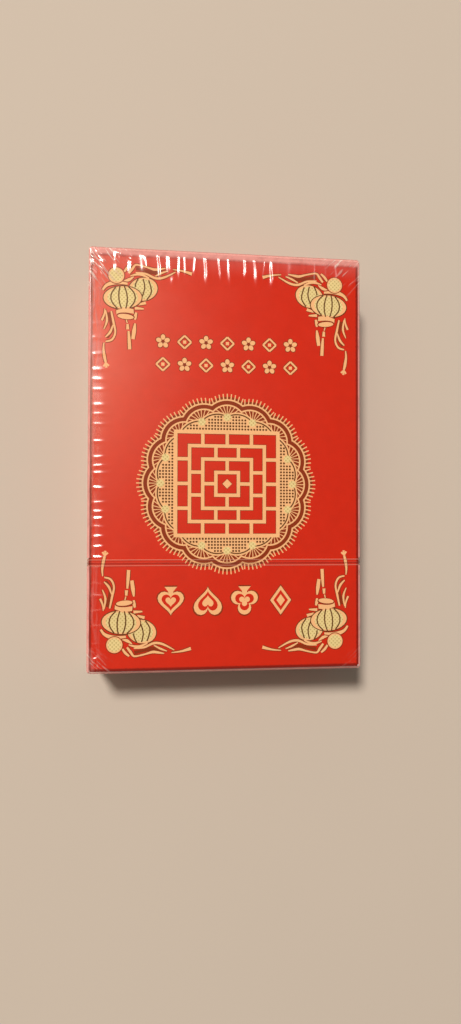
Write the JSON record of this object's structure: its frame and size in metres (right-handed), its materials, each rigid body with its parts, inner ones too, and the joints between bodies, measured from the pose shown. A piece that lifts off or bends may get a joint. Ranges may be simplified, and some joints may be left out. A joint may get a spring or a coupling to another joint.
{
  "type": "deck of playing cards",
  "caption": "Sealed deck of playing cards: a stack of cards in a printed tuck carton with a hinged lid and dust flaps, wrapped in clear film with a tear tape.",
  "frame": {"origin": "under the middle of the pack, on the plane of its film-wrapped back face", "axes": "+Z out of the printed front face, +Y along the pack towards its glued bottom end, +X across the pack"},
  "size_m": [0.0594, 0.0904, 0.0183],
  "materials": {
    "film": "clear gloss film",
    "printed_board": "printed coated board",
    "card_stock": "smooth coated card"
  },
  "bodies": {
    "carton": {"film_sleeve": "film", "carton_shell": "printed_board"},
    "lid": {"carton_lid": "printed_board"},
    "tongue": {"tuck_tongue": "printed_board"},
    "left_flap": {"dust_flap_left": "printed_board"},
    "right_flap": {"dust_flap_right": "printed_board"},
    "film_cap": {"film_cap": "film"},
    "deck": {"card_spade_ace": "card_stock", "card_spade_2": "card_stock", "card_spade_3": "card_stock", "card_spade_4": "card_stock", "card_spade_5": "card_stock", "card_spade_6": "card_stock", "card_spade_7": "card_stock", "card_spade_8": "card_stock", "card_spade_9": "card_stock", "card_spade_10": "card_stock", "card_spade_jack": "card_stock", "card_spade_queen": "card_stock", "card_spade_king": "card_stock", "card_heart_ace": "card_stock", "card_heart_2": "card_stock", "card_heart_3": "card_stock", "card_heart_4": "card_stock", "card_heart_5": "card_stock", "card_heart_6": "card_stock", "card_heart_7": "card_stock", "card_heart_8": "card_stock", "card_heart_9": "card_stock", "card_heart_10": "card_stock", "card_heart_jack": "card_stock", "card_heart_queen": "card_stock", "card_heart_king": "card_stock", "card_club_ace": "card_stock", "card_club_2": "card_stock", "card_club_3": "card_stock", "card_club_4": "card_stock", "card_club_5": "card_stock", "card_club_6": "card_stock", "card_club_7": "card_stock", "card_club_8": "card_stock", "card_club_9": "card_stock", "card_club_10": "card_stock", "card_club_jack": "card_stock", "card_club_queen": "card_stock", "card_club_king": "card_stock", "card_diamond_ace": "card_stock", "card_diamond_2": "card_stock", "card_diamond_3": "card_stock", "card_diamond_4": "card_stock", "card_diamond_5": "card_stock", "card_diamond_6": "card_stock", "card_diamond_7": "card_stock", "card_diamond_8": "card_stock", "card_diamond_9": "card_stock", "card_diamond_10": "card_stock", "card_diamond_jack": "card_stock", "card_diamond_queen": "card_stock", "card_diamond_king": "card_stock", "card_joker_pair": "card_stock"}
  },
  "joints": [
    {"name": "lid_hinge", "type": "hinge", "parent": "carton", "child": "lid", "pos_m": [0, -0.0448, 0.01795], "axis": [-1, 0, 0], "range_deg": [0, 130]},
    {"name": "tongue_fold", "type": "hinge", "parent": "lid", "child": "tongue", "pos_m": [0, -0.04455, 0.0018], "axis": [1, 0, 0], "range_deg": [0, 53]},
    {"name": "left_flap_hinge", "type": "hinge", "parent": "carton", "child": "left_flap", "pos_m": [-0.0293, -0.04425, 0.0097], "axis": [0, 0, -1], "range_deg": [0, 80]},
    {"name": "right_flap_hinge", "type": "hinge", "parent": "carton", "child": "right_flap", "pos_m": [0.0293, -0.04425, 0.0097], "axis": [0, 0, 1], "range_deg": [0, 80]},
    {"name": "film_cap_pull", "type": "slide", "parent": "carton", "child": "film_cap", "axis": [0, -1, 0], "range_m": [0, 0.062]},
    {"name": "deck_draw", "type": "slide", "parent": "carton", "child": "deck", "axis": [0, -1, 0], "range_m": [0, 0.0059]}
  ],
  "couplings": [
    {"joint": "lid_hinge", "follows": "deck_draw", "rad_per_m": 384},
    {"joint": "tongue_fold", "follows": "deck_draw", "rad_per_m": 154},
    {"joint": "left_flap_hinge", "follows": "deck_draw", "rad_per_m": 230},
    {"joint": "right_flap_hinge", "follows": "deck_draw", "rad_per_m": 230},
    {"joint": "film_cap_pull", "follows": "deck_draw", "ratio": 10.4}
  ]
}
